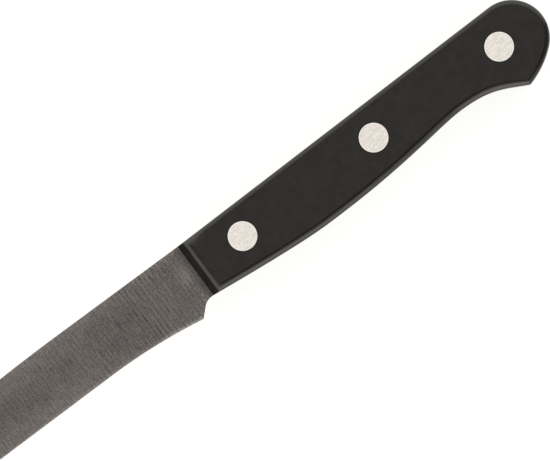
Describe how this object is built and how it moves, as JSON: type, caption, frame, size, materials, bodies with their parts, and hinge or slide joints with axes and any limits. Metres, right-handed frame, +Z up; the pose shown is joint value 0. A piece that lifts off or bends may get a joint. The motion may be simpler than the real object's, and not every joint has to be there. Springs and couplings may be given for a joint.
{
  "type": "steak knife",
  "caption": "Steak knife with a plain taper-ground blade, a full tang and black riveted scales with a swelling grip and a beak at the butt, for cutting meat at the table.",
  "frame": {"origin": "under the middle of the knife's box, on the surface that it lies on, right side down", "axes": "+X from the tip to the butt, +Y from the cutting edge to the spine, +Z up, from the right side of the knife to the left"},
  "size_m": [0.2174, 0.0206, 0.0125],
  "materials": {
    "blade_steel": "stainless steel, satin, with fine grinding lines that run from spine to edge",
    "scale_plastic": "black moulded plastic, fine matt, with softer shine on the rounded edges",
    "rivet_metal": "pale satin, sanded level with the scales"
  },
  "bodies": {
    "root": {"blade_and_tang": "blade_steel", "left_scale": "scale_plastic", "right_scale": "scale_plastic", "front_rivet_pin": "rivet_metal", "front_rivet_socket": "rivet_metal", "middle_rivet_pin": "rivet_metal", "middle_rivet_socket": "rivet_metal", "rear_rivet_pin": "rivet_metal", "rear_rivet_socket": "rivet_metal"}
  },
  "joints": []
}
